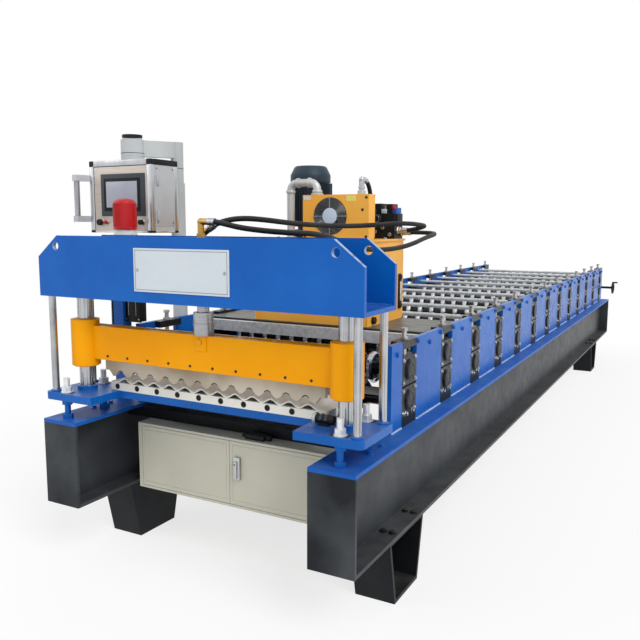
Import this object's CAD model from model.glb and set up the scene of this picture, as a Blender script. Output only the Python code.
"""Looks of the roll forming machine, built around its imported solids."""

import logging
import math
from dataclasses import dataclass
from enum import Enum
from typing import Any, Iterable, Sequence

import bmesh
import bpy
from mathutils import Matrix, Vector


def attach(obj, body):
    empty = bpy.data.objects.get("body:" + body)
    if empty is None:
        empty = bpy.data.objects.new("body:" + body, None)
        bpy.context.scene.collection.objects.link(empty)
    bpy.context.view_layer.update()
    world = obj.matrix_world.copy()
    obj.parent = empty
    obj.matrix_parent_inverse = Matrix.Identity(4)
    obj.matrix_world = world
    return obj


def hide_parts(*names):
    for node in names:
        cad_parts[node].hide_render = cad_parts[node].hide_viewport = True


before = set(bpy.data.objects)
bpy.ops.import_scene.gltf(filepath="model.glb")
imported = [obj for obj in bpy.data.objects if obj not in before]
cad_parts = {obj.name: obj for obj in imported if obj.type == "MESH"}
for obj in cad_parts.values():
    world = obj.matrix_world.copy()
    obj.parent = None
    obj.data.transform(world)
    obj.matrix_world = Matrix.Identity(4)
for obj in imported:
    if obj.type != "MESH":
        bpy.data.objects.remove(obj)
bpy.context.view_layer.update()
log = logging.getLogger("roll_forming_machine")

Point = Sequence[float]
Tree = bpy.types.NodeTree
Node = bpy.types.Node
Socket = bpy.types.NodeSocket
Object = bpy.types.Object
Material = bpy.types.Material
MM = 0.001
SHIFT = Vector((0.1255, -3.211, 0.0))
SIDES = (-1.0, 1.0)
DUST = (150, 147, 140)
DUST_DULLING = 0.5
COAT_ROUGHNESS = 0.12
CURVE_SAMPLES = 8
CURVE_SMOOTHINGS = 4


class Axis(Enum):
    """The direction that a rod, ring or prism runs along."""

    X = 0
    Y = 1
    Z = 2

    def turned(self, u: float, v: float, w: float) -> Vector:
        """Puts w on this axis and u and v on the two that follow it.

        Args:
            u: The part along the next axis.
            v: The part along the axis after that.
            w: The part along this axis.

        Returns:
            The point.
        """
        place = [0.0, 0.0, 0.0]
        place[self.value] = w
        place[(self.value + 1) % 3] = u
        place[(self.value + 2) % 3] = v
        return Vector(place)


class Body(Enum):
    """The moving groups of the machine that a piece can ride on."""

    FRAME = "frame"
    BLADE = "blade"
    ARM = "arm"
    PANEL = "panel"
    DOOR_LEFT = "door_left"
    DOOR_RIGHT = "door_right"


def place(point: Point) -> Vector:
    """Turns a point of the drawing, in millimetres, into metres of the machine's frame."""
    return Vector(point) * MM + SHIFT


def linear(color: Sequence[float]) -> tuple[float, float, float, float]:
    """Turns a screen colour into the linear colour that a shader takes.

    Args:
        color: Red, green and blue from 0 to 255.

    Returns:
        The linear colour, with an alpha of 1.
    """
    parts = [c / 255 for c in color]
    red, green, blue = (p / 12.92 if p <= 0.04045 else ((p + 0.055) / 1.055) ** 2.4 for p in parts)
    return red, green, blue, 1.0


def add(tree: Tree, kind: str, inputs: dict | None = None, **props: Any) -> Node:
    """Adds a node to a tree.

    Args:
        tree: The tree that gets the node.
        kind: The node's type.
        inputs: Values or other nodes' sockets, by input name or number.
        **props: Settings of the node.

    Returns:
        The new node.
    """
    made = tree.nodes.new(kind)
    for key, value in props.items():
        setattr(made, key, value)
    for key, value in (inputs or {}).items():
        if isinstance(value, Socket):
            tree.links.new(value, made.inputs[key])
        else:
            made.inputs[key].default_value = value
    return made


def new_tree(name: str, kind: str, inputs: dict, outputs: dict) -> tuple:
    """Starts a node group with named sockets.

    Args:
        name: The group's name.
        kind: The tree's type.
        inputs: Socket types by name.
        outputs: Socket types by name.

    Returns:
        The tree, its input node and its output node.
    """
    tree = bpy.data.node_groups.new(name, kind)
    for label, socket in inputs.items():
        tree.interface.new_socket(name=label, in_out="INPUT", socket_type="NodeSocket" + socket)
    for label, socket in outputs.items():
        tree.interface.new_socket(name=label, in_out="OUTPUT", socket_type="NodeSocket" + socket)
    return tree, tree.nodes.new("NodeGroupInput"), tree.nodes.new("NodeGroupOutput")


def fill(tree: Tree, leave: Node, **results: Socket) -> Tree:
    """Links the results of a group to its output node and returns the group's tree."""
    for label, socket in results.items():
        tree.links.new(socket, leave.inputs[label])
    return tree


def blended(tree: Tree, factor: Any, low: Any, high: Any) -> Socket:
    """Mixes two colours and returns the mixed colour's socket."""
    mix = add(tree, "ShaderNodeMix", {0: factor, 6: low, 7: high}, data_type="RGBA")
    return mix.outputs[2]


def ramped(tree: Tree, value: Any, span: Point, target: Sequence[Any]) -> Socket:
    """Maps a value from one range to another, with its ends held."""
    made = add(
        tree,
        "ShaderNodeMapRange",
        {"Value": value, "From Min": span[0], "From Max": span[1], "To Min": target[0], "To Max": target[1]},
    )
    return made.outputs[0]


def maths(tree: Tree, operation: str, first: Any, second: Any = 0.0) -> Socket:
    """Does one sum in a tree and returns its socket."""
    return add(tree, "ShaderNodeMath", {0: first, 1: second}, operation=operation).outputs[0]


def located(tree: Tree) -> Socket:
    """Returns the place of a surface point in the machine's frame."""
    return add(tree, "ShaderNodeTexCoord").outputs["Object"]


def split(tree: Tree, vector: Socket) -> Any:
    """Returns the three parts of a vector, by the names X, Y and Z."""
    return add(tree, "ShaderNodeSeparateXYZ", {0: vector}).outputs


def clouded(tree: Tree, coords: Socket, scale: Any, detail: float) -> Socket:
    """Adds a noise that varies over the surface and returns its value."""
    return add(
        tree, "ShaderNodeTexNoise", {"Vector": coords, "Scale": scale, "Detail": detail},
    ).outputs["Fac"]


class Effects:
    """Shader groups that several finishes share, each built once."""

    groups: dict[str, Tree] = {}

    @classmethod
    def get(cls, name: str) -> Tree:
        """Returns a group by its name, and builds it the first time."""
        if name not in cls.groups:
            cls.groups[name] = getattr(cls, name)(name)
        return cls.groups[name]

    @staticmethod
    def rounded_edge(name: str) -> Tree:
        """Softens edges and marks where they are worn.

        Args:
            name: The group's name.

        Returns:
            The group's tree.
        """
        tree, entry, leave = new_tree(
            name, "ShaderNodeTree", {"Radius": "Float", "Wear": "Float"},
            {"Mask": "Float", "Normal": "Vector"}
        )
        soft = add(tree, "ShaderNodeBevel", {"Radius": entry.outputs["Radius"]}, samples=4)
        geometry = add(tree, "ShaderNodeNewGeometry")
        across = add(
            tree, "ShaderNodeVectorMath", {0: soft.outputs[0], 1: geometry.outputs["Normal"]},
            operation="DOT_PRODUCT"
        )
        edge = ramped(tree, across.outputs["Value"], (0.995, 0.86), (0.0, 1.0))
        patches = ramped(tree, clouded(tree, located(tree), 38.0, 4.0), (0.48, 0.62), (0.0, 1.0))
        mask = maths(tree, "MULTIPLY", maths(tree, "MULTIPLY", edge, patches), entry.outputs["Wear"])
        return fill(tree, leave, Mask=mask, Normal=soft.outputs[0])

    @staticmethod
    def paint_film(name: str) -> Tree:
        """Varies the paint and gives it a fine grain.

        Args:
            name: The group's name.

        Returns:
            The group's tree.
        """
        tree, entry, leave = new_tree(
            name,
            "ShaderNodeTree",
            {"Color": "Color", "Shade": "Color", "Roughness": "Float", "Grain": "Float"},
            {"Color": "Color", "Roughness": "Float", "Height": "Float"},
        )
        given, coords = entry.outputs, located(tree)
        amount = ramped(tree, clouded(tree, coords, 3.5, 4.0), (0.38, 0.66), (0.0, 1.0))
        spread = ramped(tree, clouded(tree, coords, 17.0, 5.0), (0.3, 0.7), (-0.05, 0.07))
        return fill(
            tree,
            leave,
            Color=blended(tree, amount, given["Color"], given["Shade"]),
            Roughness=maths(tree, "ADD", given["Roughness"], spread),
            Height=clouded(tree, coords, given["Grain"], 2.0),
        )

    @staticmethod
    def brushed_grain(name: str) -> Tree:
        """Draws the fine lines of worked metal out along one direction.

        Args:
            name: The group's name.

        Returns:
            The group's tree.
        """
        tree, entry, leave = new_tree(
            name,
            "ShaderNodeTree",
            {"Color": "Color", "Shade": "Color", "Roughness": "Float", "Stretch": "Vector"},
            {"Color": "Color", "Roughness": "Float", "Height": "Float"},
        )
        given, coords = entry.outputs, located(tree)
        drawn = add(tree, "ShaderNodeMapping", {"Vector": coords, "Scale": given["Stretch"]})
        lines = clouded(tree, drawn.outputs[0], 1.0, 5.0)
        stains = ramped(tree, clouded(tree, coords, 9.0, 4.0), (0.35, 0.65), (0.35, 1.0))
        amount = maths(tree, "MULTIPLY", ramped(tree, lines, (0.35, 0.7), (0.1, 1.0)), stains)
        spread = ramped(tree, lines, (0.3, 0.7), (-0.05, 0.09))
        return fill(
            tree,
            leave,
            Color=blended(tree, amount, given["Color"], given["Shade"]),
            Roughness=maths(tree, "ADD", given["Roughness"], spread),
            Height=lines,
        )

    @staticmethod
    def settled_dust(name: str) -> Tree:
        """Lays thin dust on faces that look up.

        Args:
            name: The group's name.

        Returns:
            The group's tree.
        """
        tree, entry, leave = new_tree(
            name,
            "ShaderNodeTree",
            {"Color": "Color", "Dust": "Color", "Amount": "Float"},
            {"Color": "Color", "Mask": "Float"},
        )
        geometry = add(tree, "ShaderNodeNewGeometry")
        up = ramped(tree, split(tree, geometry.outputs["Normal"])["Z"], (0.3, 0.95), (0.06, 1.0))
        patches = ramped(tree, clouded(tree, located(tree), 12.0, 6.0), (0.35, 0.75), (0.15, 1.0))
        mask = maths(tree, "MULTIPLY", maths(tree, "MULTIPLY", up, patches), entry.outputs["Amount"])
        return fill(
            tree, leave, Color=blended(tree, mask, entry.outputs["Color"], entry.outputs["Dust"]), Mask=mask
        )


@dataclass(frozen=True)
class Finish:
    """A surface finish, with colours as they look on a screen.

    The class itself makes painted and moulded surfaces.
    """

    name: str
    slot: str
    color: Point
    shade: Point
    roughness: float = 0.38
    grain: float = 700.0
    relief: float = 0.00004
    coat: float = 0.0
    edge: float = 1.2
    wear: float = 0.25
    worn: Point = (150, 152, 155)
    dust: float = 0.12
    metallic: float = 0.0
    gloss: float = 0.2

    def material(self) -> Material:
        """Finds the finish's material, and builds it the first time.

        Returns:
            The material.
        """
        found = bpy.data.materials.get(self.name)
        if found is None:
            found = bpy.data.materials.new(self.name)
            found.use_nodes = True
            tree = found.node_tree
            tree.nodes.clear()
            shader = add(tree, "ShaderNodeBsdfPrincipled")
            add(tree, "ShaderNodeOutputMaterial", {"Surface": shader.outputs[0]})
            self.wire(tree, shader)
        return found

    def group(self, tree: Tree, name: str, values: dict) -> Node:
        """Adds an effect that takes the finish's colours and roughness.

        Args:
            tree: The material's tree.
            name: The effect's name.
            values: What else the effect takes, by input name.

        Returns:
            The group's node.
        """
        own = {"Color": linear(self.color), "Shade": linear(self.shade), "Roughness": self.roughness}
        made = add(tree, "ShaderNodeGroup", node_tree=Effects.get(name))
        for label, value in {**own, **values}.items():
            made.inputs[label].default_value = value
        return made

    def film(self, tree: Tree) -> Node:
        """Adds the group that gives the finish its colour and grain."""
        return self.group(tree, "paint_film", {"Grain": self.grain})

    def wire(self, tree: Tree, shader: Node) -> None:
        """Links the groups to the material's own shader.

        Args:
            tree: The material's tree.
            shader: The shader that gets the colours, roughness and normals.
        """
        film = self.film(tree)
        edge = add(tree, "ShaderNodeGroup", node_tree=Effects.get("rounded_edge"))
        edge.inputs["Radius"].default_value = self.edge * MM
        edge.inputs["Wear"].default_value = self.wear
        dust = add(tree, "ShaderNodeGroup", {0: film.outputs["Color"]}, node_tree=Effects.get("settled_dust"))
        dust.inputs["Dust"].default_value = linear(DUST)
        dust.inputs["Amount"].default_value = self.dust
        color = blended(tree, edge.outputs["Mask"], dust.outputs["Color"], linear(self.worn))
        bump = add(
            tree,
            "ShaderNodeBump",
            {
                "Strength": 1.0,
                "Distance": self.relief,
                "Height": film.outputs["Height"],
                "Normal": edge.outputs["Normal"],
            },
        )
        dulled = maths(tree, "MULTIPLY", dust.outputs["Mask"], DUST_DULLING)
        tree.links.new(color, shader.inputs["Base Color"])
        tree.links.new(maths(tree, "ADD", film.outputs["Roughness"], dulled), shader.inputs["Roughness"])
        tree.links.new(bump.outputs[0], shader.inputs["Normal"])
        shader.inputs["Metallic"].default_value = self.metallic
        shader.inputs["Specular IOR Level"].default_value = self.gloss
        shader.inputs["Coat Weight"].default_value = self.coat
        shader.inputs["Coat Roughness"].default_value = COAT_ROUGHNESS


@dataclass(frozen=True)
class Metal(Finish):
    """Bare or plated metal with lines drawn out by its working."""

    stretch: Point = (60.0, 60.0, 60.0)
    metallic: float = 1.0
    worn: Point = (225, 226, 228)
    dust: float = 0.06

    def film(self, tree: Tree) -> Node:
        """Adds the group that gives the metal its lines."""
        return self.group(tree, "brushed_grain", {"Stretch": self.stretch})


@dataclass(frozen=True)
class TwoTone(Finish):
    """Paint that changes colour at one height, as where two coats meet."""

    upper: Point = (0, 0, 0)
    upper_shade: Point = (0, 0, 0)
    height: float = 0.0

    def film(self, tree: Tree) -> Node:
        """Adds the paint group, with its colours chosen by height.

        Args:
            tree: The material's tree.

        Returns:
            The group's node.
        """
        made = super().film(tree)
        above = maths(tree, "GREATER_THAN", split(tree, located(tree))["Z"], self.height * MM)
        for label, low, high in (("Color", self.color, self.upper), ("Shade", self.shade, self.upper_shade)):
            tree.links.new(blended(tree, above, linear(low), linear(high)), made.inputs[label])
        return made


@dataclass(frozen=True)
class BeamPaint(TwoTone):
    """Paint of the beams, darker on the plates that close their front ends."""

    plate: Point = (20, 24, 29)
    depth: float = 12.0

    def film(self, tree: Tree) -> Node:
        """Adds the paint group, with the end plates in their own colour.

        Args:
            tree: The material's tree.

        Returns:
            The group's node.
        """
        made = super().film(tree)
        parts = split(tree, located(tree))
        ahead = maths(tree, "LESS_THAN", parts["Y"], place((0.0, self.depth, 0.0)).y)
        low = maths(tree, "LESS_THAN", parts["Z"], self.height * MM)
        mask = maths(tree, "MULTIPLY", ahead, low)
        under = made.inputs["Color"].links[0].from_socket
        tree.links.new(blended(tree, mask, under, linear(self.plate)), made.inputs["Color"])
        return made


@dataclass(frozen=True)
class TwoMetal(TwoTone, Metal):
    """Metal that changes at one height, as where two fittings meet."""


@dataclass(frozen=True)
class RollSkin(Metal):
    """Chromed rings on a dark shaft, told apart by their distance from the shaft's axis."""

    shaft: Point = (30, 31, 34)
    shaft_shade: Point = (48, 49, 52)
    axis: float = 824.0
    first: float = 642.0
    pitch: float = 450.0
    bare: float = 40.0

    def film(self, tree: Tree) -> Node:
        """Adds the metal's lines, with its colours chosen by the distance from the nearest shaft.

        Args:
            tree: The material's tree.

        Returns:
            The group's node.
        """
        made = super().film(tree)
        parts = split(tree, located(tree))
        start = place((0.0, self.first, 0.0)).y
        steps = maths(tree, "DIVIDE", maths(tree, "SUBTRACT", parts["Y"], start), self.pitch * MM)
        along = maths(
            tree, "MULTIPLY", maths(tree, "SUBTRACT", steps, maths(tree, "ROUND", steps)), self.pitch * MM,
        )
        up = maths(tree, "SUBTRACT", parts["Z"], self.axis * MM)
        square = maths(tree, "ADD", maths(tree, "MULTIPLY", along, along), maths(tree, "MULTIPLY", up, up))
        ring = maths(tree, "GREATER_THAN", maths(tree, "SQRT", square), self.bare * MM)
        for label, low, high in (("Color", self.shaft, self.color), ("Shade", self.shaft_shade, self.shade)):
            tree.links.new(blended(tree, ring, linear(low), linear(high)), made.inputs[label])
        return made


@dataclass(frozen=True)
class HoseRubber(Finish):
    """Hose cover with the faint spiral of its wrapping."""

    def wire(self, tree: Tree, shader: Node) -> None:
        """Puts the wrapping's lines in place of the paint's grain.

        Args:
            tree: The material's tree.
            shader: The shader that gets the colours, roughness and normals.
        """
        super().wire(tree, shader)
        turns = add(tree, "ShaderNodeUVMap", uv_map="along")
        lines = add(
            tree, "ShaderNodeTexWave", {"Vector": turns.outputs[0], "Scale": 70.0, "Distortion": 0.4},
            bands_direction="Y"
        )
        bump = next(n for n in tree.nodes if n.type == "BUMP")
        tree.links.new(lines.outputs["Fac"], bump.inputs["Height"])
        bump.inputs["Distance"].default_value = 0.0002


class Finishes:
    """Every finish of the machine."""

    BEAM = BeamPaint(
        "beam_paint", "beam_black", (46, 49, 54), (62, 66, 70), 0.42, wear=0.12, edge=2.0,
        worn=(110, 114, 118), upper=(6, 82, 166), upper_shade=(12, 92, 176), height=591.0,
    )
    BLACK = Finish(
        "black_paint", "beam_black", (15, 18, 21), (24, 27, 30), 0.42, wear=0.15, worn=(80, 82, 85),
        gloss=0.15,
    )
    BLUE = Finish("blue_paint", "wall_blue", (3, 86, 172), (8, 95, 182), 0.28, wear=0.3, worn=(150, 178, 212))
    DEEP = Finish(
        "deep_blue_paint", "wall_blue", (6, 84, 164), (12, 92, 174), 0.28, wear=0.3, worn=(150, 178, 212),
    )
    OXIDE = Metal(
        "black_oxide", "beam_black", (52, 54, 60), (28, 30, 34), 0.34, metallic=0.7, worn=(150, 152, 158),
    )
    NUT = Metal("dark_bolt", "beam_black", (64, 66, 72), (36, 38, 42), 0.3, worn=(150, 152, 158))
    ROLL = RollSkin(
        "roll_chrome", "roll_steel", (198, 200, 202), (150, 152, 155), 0.22, stretch=(900.0, 30.0, 30.0),
        wear=0.5,
    )
    LOW_ROLL = RollSkin(
        "low_roll_chrome", "roll_steel", (198, 200, 202), (150, 152, 155), 0.22,
        stretch=(900.0, 30.0, 30.0), wear=0.5, axis=703.0,
    )
    CHROME = Metal(
        "column_chrome", "bright_steel", (200, 202, 205), (112, 114, 118), 0.16,
        stretch=(190.0, 190.0, 1.2), edge=0.8
    )
    STEEL = Metal(
        "turned_steel", "bright_steel", (182, 184, 187), (138, 140, 144), 0.28, stretch=(20.0, 20.0, 600.0),
    )
    CAST = Finish(
        "cast_pipe", "bright_steel", (196, 197, 196), (170, 172, 172), 0.45, grain=260.0, relief=0.0003,
        metallic=0.35
    )
    ZINC = Metal(
        "zinc_plating", "zinc", (196, 198, 201), (150, 153, 158), 0.34, stretch=(45.0, 45.0, 45.0), wear=0.4,
    )
    SHEET = Metal(
        "galvanised_sheet", "zinc", (168, 170, 170), (124, 127, 128), 0.4, stretch=(7.0, 60.0, 60.0),
    )
    TRAY = Metal(
        "tray_steel", "beam_black", (112, 114, 110), (84, 86, 84), 0.42, metallic=0.6,
        stretch=(12.0, 40.0, 40.0),
    )
    YELLOW = Finish(
        "yellow_paint", "blade_yellow", (238, 154, 0), (244, 164, 2), 0.34, wear=0.35, worn=(120, 90, 50),
        gloss=0.1, dust=0.04
    )
    TOOL = Finish(
        "tool_coating", "tool_cream", (222, 221, 214), (198, 196, 188), 0.5, grain=420.0, relief=0.0002,
        wear=0.5, worn=(130, 124, 112), dust=0.05, metallic=0.1,
    )
    EDGE = Finish(
        "blade_steel", "tool_cream", (192, 184, 168), (142, 128, 106), 0.5, grain=420.0, relief=0.0002,
        wear=0.5, worn=(120, 108, 90), dust=0.05, metallic=0.1,
    )
    GALV = Metal(
        "hot_zinc", "zinc", (206, 210, 212), (158, 163, 167), 0.42, metallic=0.35,
        stretch=(55.0, 55.0, 55.0), wear=0.3
    )
    STUD = TwoMetal(
        "stud_metal", "zinc", (16, 92, 176), (30, 104, 186), 0.36, metallic=0.5, stretch=(45.0, 45.0, 45.0),
        upper=(232, 234, 236), upper_shade=(190, 194, 198), height=690.0, wear=0.3,
    )
    ORANGE = Finish(
        "orange_paint", "tank_orange", (244, 174, 66), (248, 184, 80), 0.36, wear=0.25, worn=(150, 120, 80),
        dust=0.05
    )
    MOTOR = Finish(
        "motor_paint", "motor_black", (36, 52, 64), (46, 62, 74), 0.4, grain=300.0, worn=(90, 100, 110),
    )
    PLASTIC = Finish("black_plastic", "motor_black", (20, 21, 23), (28, 29, 32), 0.5, grain=900.0, wear=0.05)
    FITTING = TwoMetal(
        "fitting_metal", "brass", (206, 168, 96), (166, 128, 66), 0.3, stretch=(80.0, 80.0, 300.0), wear=0.3,
        metallic=1.0, upper=(196, 198, 201), upper_shade=(150, 153, 158), height=1500.0,
    )
    RUBBER = HoseRubber("hose_cover", "hose_black", (24, 25, 27), (38, 39, 41), 0.5, wear=0.0, dust=0.15)
    ENAMEL = Finish("white_enamel", "panel_grey", (190, 195, 196), (178, 183, 184), 0.38, wear=0.1)
    PROFILE = Metal(
        "profile_aluminium", "panel_grey", (206, 207, 210), (170, 172, 176), 0.32, stretch=(30.0, 30.0, 4.0),
    )
    PANEL = Metal(
        "panel_steel", "panel_grey", (204, 194, 184), (184, 174, 164), 0.42, stretch=(8.0, 60.0, 380.0),
        metallic=0.4,
    )
    SIDE = Finish("panel_side", "panel_grey", (190, 192, 195), (178, 180, 184), 0.4, metallic=0.2, wear=0.1)
    GRIP = Metal(
        "grip_aluminium", "panel_grey", (178, 180, 184), (140, 142, 146), 0.3, stretch=(40.0, 40.0, 6.0),
    )
    BEZEL = Finish("screen_bezel", "panel_grey", (66, 71, 76), (58, 62, 67), 0.45, wear=0.0)
    SCREEN = Finish(
        "screen_film", "panel_grey", (166, 169, 180), (154, 158, 170), 0.16, coat=0.4, wear=0.0, relief=0.0,
    )
    LAMP = TwoTone(
        "lamp_shell", "lamp_red", (216, 214, 210), (204, 202, 198), 0.16, coat=0.4, wear=0.0, relief=0.0,
        upper=(214, 16, 28), upper_shade=(224, 30, 40), height=1361.0,
    )
    RED = Finish("red_plastic", "lamp_red", (188, 16, 24), (172, 12, 20), 0.3, coat=0.3, wear=0.0)
    CREAM = Finish(
        "cream_paint", "cabinet_cream", (198, 196, 180), (190, 188, 172), 0.5, grain=520.0, relief=0.00012,
        wear=0.2
    )
    PLATE = Finish(
        "plate_face", "plate_white", (204, 212, 218), (196, 205, 212), 0.28, coat=0.1, wear=0.0, relief=0.0,
    )
    LINE = Finish("plate_line", "plate_white", (124, 130, 138), (112, 118, 126), 0.4, wear=0.0, edge=0.3)
    LABEL = Finish("plain_label", "plate_white", (238, 226, 120), (230, 216, 104), 0.5, wear=0.0, edge=0.3)
    WELD = Metal("weld_bead", "wall_blue", (176, 192, 216), (96, 130, 180), 0.36, metallic=0.4)
    SOLENOID = Finish("blue_plastic", "motor_black", (30, 80, 156), (42, 92, 166), 0.4, wear=0.0)
    HUB = Finish("hub_label", "plate_white", (186, 204, 220), (204, 214, 222), 0.35, wear=0.0, edge=0.4)
    GAUGE = Finish("gauge_face", "plate_white", (216, 216, 212), (204, 204, 200), 0.3, coat=0.4, wear=0.0)


def smooth_path(points: Iterable[Point], spacing: float = 12.0) -> list[Vector]:
    """Rounds a hand-chosen route into an evenly spaced one.

    Args:
        points: The route's points.
        spacing: About how far apart the new points lie.

    Returns:
        Points of a smooth curve with the route's own ends.
    """
    route = [Vector(p) for p in points]
    ends = [route[0] * 2 - route[1], *route, route[-1] * 2 - route[-2]]
    dense = []
    for a, b, c, d in zip(ends, ends[1:], ends[2:], ends[3:]):
        t1 = (b - a).length ** 0.5
        t2 = t1 + (c - b).length ** 0.5
        t3 = t2 + (d - c).length ** 0.5
        for i in range(CURVE_SAMPLES):
            t = t1 + (t2 - t1) * i / CURVE_SAMPLES
            ab = a.lerp(b, t / t1)
            bc = b.lerp(c, (t - t1) / (t2 - t1))
            cd = c.lerp(d, (t - t2) / (t3 - t2))
            dense.append(ab.lerp(bc, t / t2).lerp(bc.lerp(cd, (t - t1) / (t3 - t1)), (t - t1) / (t2 - t1)))
    dense.append(route[-1])
    reach = [0.0]
    for a, b in zip(dense, dense[1:]):
        reach.append(reach[-1] + (b - a).length)
    count = max(4, round(reach[-1] / spacing))
    even, row = [], 0
    for i in range(count + 1):
        want = reach[-1] * i / count
        while row < len(dense) - 2 and reach[row + 1] < want:
            row += 1
        even.append(dense[row].lerp(dense[row + 1], (want - reach[row]) / (reach[row + 1] - reach[row])))
    for _ in range(CURVE_SMOOTHINGS):
        inner = [(a + 2 * b + c) / 4 for a, b, c in zip(even, even[1:], even[2:])]
        even = [even[0], *inner, even[-1]]
    return even


def settled(obj: Object, body: Body, sharp: float = 35.0) -> Object:
    """Shades a finished piece and sets it on its body.

    Args:
        obj: The piece, with its place in its mesh.
        body: What it moves with.
        sharp: The angle in degrees above which an edge stays sharp.

    Returns:
        The same piece.
    """
    mesh = obj.data
    mesh.polygons.foreach_set("use_smooth", [True] * len(mesh.polygons))
    mesh.set_sharp_from_angle(angle=math.radians(sharp))
    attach(obj, body.value)
    log.info("%s: %d faces, rides on %s", obj.name, len(mesh.polygons), body.value)
    return obj


class Shape:
    """A mesh in the making, in millimetres from the beams' front ends and the centre plane."""

    def __init__(self) -> None:
        """Starts an empty mesh with a map that runs along its tubes."""
        self.bm = bmesh.new()
        self.uv = self.bm.loops.layers.uv.new("along")

    def box(self, low: Point, high: Point, bevel: float = 0.0) -> "Shape":
        """Adds a box between two corners.

        Args:
            low: The corner with the least x, y and z.
            high: The corner across from it.
            bevel: How far its edges are rounded, or 0 for sharp ones.

        Returns:
            This shape.
        """
        made = bmesh.ops.create_cube(self.bm, size=1.0)["verts"]
        for vert in made:
            vert.co = Vector([(a + b) / 2 + c * (b - a) for a, b, c in zip(low, high, vert.co)])
        if bevel:
            edges = list(dict.fromkeys(edge for vert in made for edge in vert.link_edges))
            bmesh.ops.bevel(self.bm, geom=edges, offset=bevel, segments=2, profile=0.5, affect="EDGES")
        return self

    def rings(self, loops: list[list[Vector]], closed: bool = False) -> "Shape":
        """Joins loops of points into a skin.

        Args:
            loops: Loops of equal length, or of one point at a pole.
            closed: True if the last loop joins the first, as in a ring.

        Returns:
            This shape.
        """
        made = [[self.bm.verts.new(p) for p in loop] for loop in loops]
        pairs = list(zip(made, made[1:]))
        if closed:
            pairs.append((made[-1], made[0]))
        for row, (low, high) in enumerate(pairs):
            count = max(len(low), len(high))
            for i in range(count):
                j = (i + 1) % count
                corners = [low[i % len(low)], low[j % len(low)], high[j % len(high)], high[i % len(high)]]
                face = self.bm.faces.new(list(dict.fromkeys(corners)))
                for loop in face.loops:
                    on_high = loop.vert in high
                    loop[self.uv].uv = (i / count, float(row + on_high))
        if not closed:
            for loop in (made[0], made[-1]):
                if len(loop) > 2:
                    self.bm.faces.new(loop)
        return self

    def lathe(
        self, axis: Axis, centre: Point, profile: Iterable[Point], sides: int = 28, closed: bool = False
    ) -> "Shape":
        """Turns an outline round an axis.

        Args:
            axis: The axis that it turns round.
            centre: The point where the outline's heights start.
            profile: Pairs of a radius and a height along the axis.
            sides: How many sides the round has.
            closed: True if the outline comes back to its start.

        Returns:
            This shape.
        """
        loops = []
        for radius, height in profile:
            count = sides if radius > 1e-6 else 1
            loops.append(
                [
                    Vector(centre)
                    + axis.turned(
                        radius * math.cos(math.tau * i / sides), radius * math.sin(math.tau * i / sides),
                        height
                    )
                    for i in range(count)
                ]
            )
        return self.rings(loops, closed)

    def rod(
        self, axis: Axis, start: Point, radius: float, length: float, bevel: float = 1.0, sides: int = 28
    ) -> "Shape":
        """Adds a cylinder that runs up an axis, with its rims rounded by bevel."""
        outline = [
            (0, 0), (radius - bevel, 0), (radius, bevel), (radius, length - bevel),
            (radius - bevel, length), (0, length)
        ]
        return self.lathe(axis, start, outline, sides)

    def band(self, axis: Axis, centre: Point, radii: Point, heights: Point, sides: int = 28) -> "Shape":
        """Adds a flat ring between two radii and two heights.

        Args:
            axis: The axis that it lies round.
            centre: The point where the heights start.
            radii: The inner and the outer radius.
            heights: Where it starts and ends along the axis.
            sides: How many sides the round has.

        Returns:
            This shape.
        """
        (inner, outer), (low, high) = radii, heights
        outline = [(inner, low), (outer, low), (outer, high), (inner, high)]
        return self.lathe(axis, centre, outline, sides, closed=True)

    def prism(self, axis: Axis, outline: Sequence[Point], start: float, depth: float) -> "Shape":
        """Adds a flat outline drawn out along an axis."""
        loops = [[axis.turned(u, v, w) for u, v in outline] for w in (start, start + depth)]
        return self.rings(loops)

    def tube(self, points: Sequence[Point], radius: float, sides: int = 12) -> "Shape":
        """Sweeps a round section along a path.

        Args:
            points: The path.
            radius: The section's radius.
            sides: How many sides the section has.

        Returns:
            This shape.
        """
        path = [Vector(p) for p in points]
        loops = []
        across = None
        for i, point in enumerate(path):
            ahead = (path[min(i + 1, len(path) - 1)] - path[max(i - 1, 0)]).normalized()
            if across is None:
                across = ahead.orthogonal().normalized()
            across = (across - ahead * across.dot(ahead)).normalized()
            other = ahead.cross(across)
            loops.append(
                [
                    point + radius * (math.cos(a) * across + math.sin(a) * other)
                    for a in (math.tau * k / sides for k in range(sides))
                ]
            )
        return self.rings(loops)

    def both_sides(self) -> "Shape":
        """Adds a copy of all so far on the other side of the centre plane.

        Returns:
            This shape.
        """
        made = bmesh.ops.duplicate(self.bm, geom=[*self.bm.verts, *self.bm.edges, *self.bm.faces])
        for item in made["geom"]:
            if isinstance(item, bmesh.types.BMVert):
                item.co.x = -item.co.x
        return self

    def piece(self, name: str, finish: Finish, body: Body = Body.FRAME, sharp: float = 35.0) -> Object:
        """Turns the shape into a finished piece.

        Args:
            name: The piece's name.
            finish: What its surface is made of.
            body: What it moves with.
            sharp: The angle in degrees above which an edge stays sharp.

        Returns:
            The piece.
        """
        bmesh.ops.recalc_face_normals(self.bm, faces=self.bm.faces)
        for vert in self.bm.verts:
            vert.co = place(vert.co)
        mesh = bpy.data.meshes.new(name)
        self.bm.to_mesh(mesh)
        self.bm.free()
        mesh.materials.append(finish.material())
        obj = bpy.data.objects.new(name, mesh)
        bpy.context.scene.collection.objects.link(obj)
        return settled(obj, body, sharp)


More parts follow.
